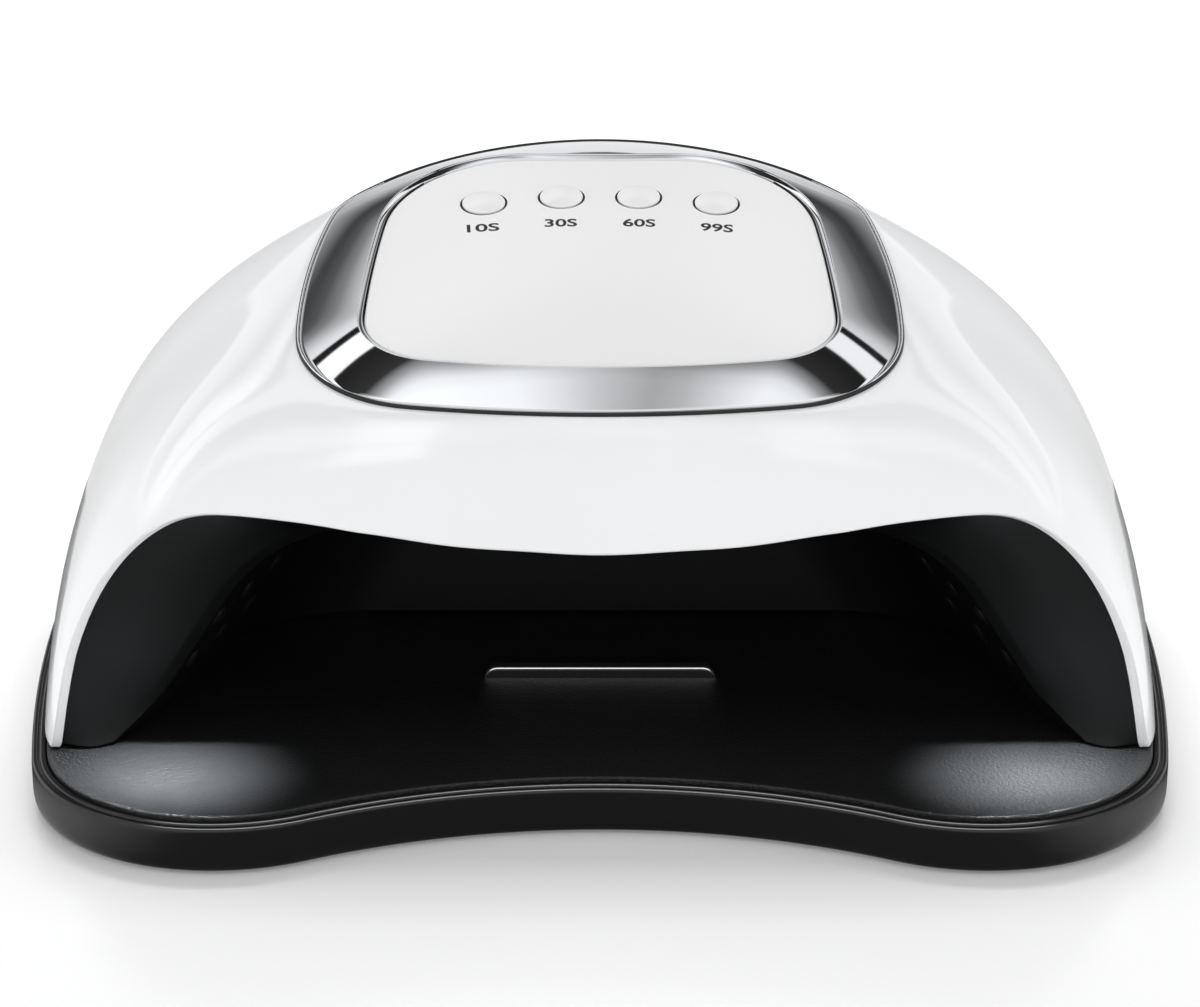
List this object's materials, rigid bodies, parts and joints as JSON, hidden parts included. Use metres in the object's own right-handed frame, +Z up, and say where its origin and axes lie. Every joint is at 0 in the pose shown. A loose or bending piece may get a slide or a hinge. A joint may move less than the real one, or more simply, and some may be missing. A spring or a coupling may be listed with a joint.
{
  "type": "nail lamp",
  "caption": "Domed gloss lamp body with a chrome-ringed button panel and an arched hand opening, standing on a low flat tray it lifts off.",
  "frame": {"origin": "middle of the footprint, on the surface that the tray's feet stand on", "axes": "+X to the right as seen from the hand opening, +Y towards the rear, +Z up"},
  "size_m": [0.2668, 0.2255, 0.1181],
  "materials": {
    "white_gloss": "gloss moulded",
    "panel_white": "satin gloss moulded",
    "chrome": "polished plating",
    "rim_plastic": "gloss moulded",
    "floor_plastic": "fine leather grain",
    "gloss_black": "gloss moulded",
    "black_satin": "satin moulded",
    "rubber": "matte",
    "plated_steel": "zinc plated",
    "circuit_board": "solder mask",
    "lamp_board": "white solder mask",
    "lamp_chip": "phosphor window",
    "clear_lens": "clear moulded",
    "sensor_red": "dark red filter",
    "lead_black": "insulated",
    "lead_red": "insulated",
    "plunger_brown": "moulded"
  },
  "bodies": {
    "tray": {"tray_frame": "rim_plastic", "floor_plate": "floor_plastic", "finger_bar": "gloss_black", "tray_feet": "rubber", "keeper_discs": "plated_steel"},
    "lamp": {"outer_shell": "white_gloss", "chrome_ring": "chrome", "top_panel": "panel_white", "inner_liner": "black_satin", "bottom_frame": "black_satin", "support_pads": "rubber", "magnets": "plated_steel", "case_screws": "plated_steel", "control_board": "circuit_board", "board_screws": "plated_steel", "switch_bodies": "black_satin", "display_module": "gloss_black", "ceiling_board": "lamp_board", "left_board": "lamp_board", "right_board": "lamp_board", "rear_board": "lamp_board", "ceiling_chips": "lamp_chip", "left_chips": "lamp_chip", "right_chips": "lamp_chip", "rear_chips": "lamp_chip", "ceiling_lenses": "clear_lens", "left_lenses": "clear_lens", "right_lenses": "clear_lens", "rear_lenses": "clear_lens", "lamp_screws": "plated_steel", "hand_sensor": "sensor_red", "power_socket": "black_satin", "socket_pin": "plated_steel", "socket_screws": "plated_steel", "power_lead": "lead_black", "lamp_leads": "lead_red"},
    "key_10": {"button_10": "panel_white", "plunger_10": "plunger_brown"},
    "key_30": {"button_30": "panel_white", "plunger_30": "plunger_brown"},
    "key_60": {"button_60": "panel_white", "plunger_60": "plunger_brown"},
    "key_99": {"button_99": "panel_white", "plunger_99": "plunger_brown"}
  },
  "joints": [
    {"name": "lamp_lift", "type": "slide", "parent": "tray", "child": "lamp", "axis": [0, 0, 1], "range_m": [0, 0.1]},
    {"name": "press_10", "type": "slide", "parent": "lamp", "child": "key_10", "axis": [0, 0.2656, -0.9641], "range_m": [0, 0.0005], "stiffness_N_per_m": 800, "springref_m": -0.0003},
    {"name": "press_30", "type": "slide", "parent": "lamp", "child": "key_30", "axis": [0, 0.2656, -0.9641], "range_m": [0, 0.0005], "stiffness_N_per_m": 800, "springref_m": -0.0003},
    {"name": "press_60", "type": "slide", "parent": "lamp", "child": "key_60", "axis": [0, 0.2656, -0.9641], "range_m": [0, 0.0005], "stiffness_N_per_m": 800, "springref_m": -0.0003},
    {"name": "press_99", "type": "slide", "parent": "lamp", "child": "key_99", "axis": [0, 0.2656, -0.9641], "range_m": [0, 0.0005], "stiffness_N_per_m": 800, "springref_m": -0.0003}
  ]
}
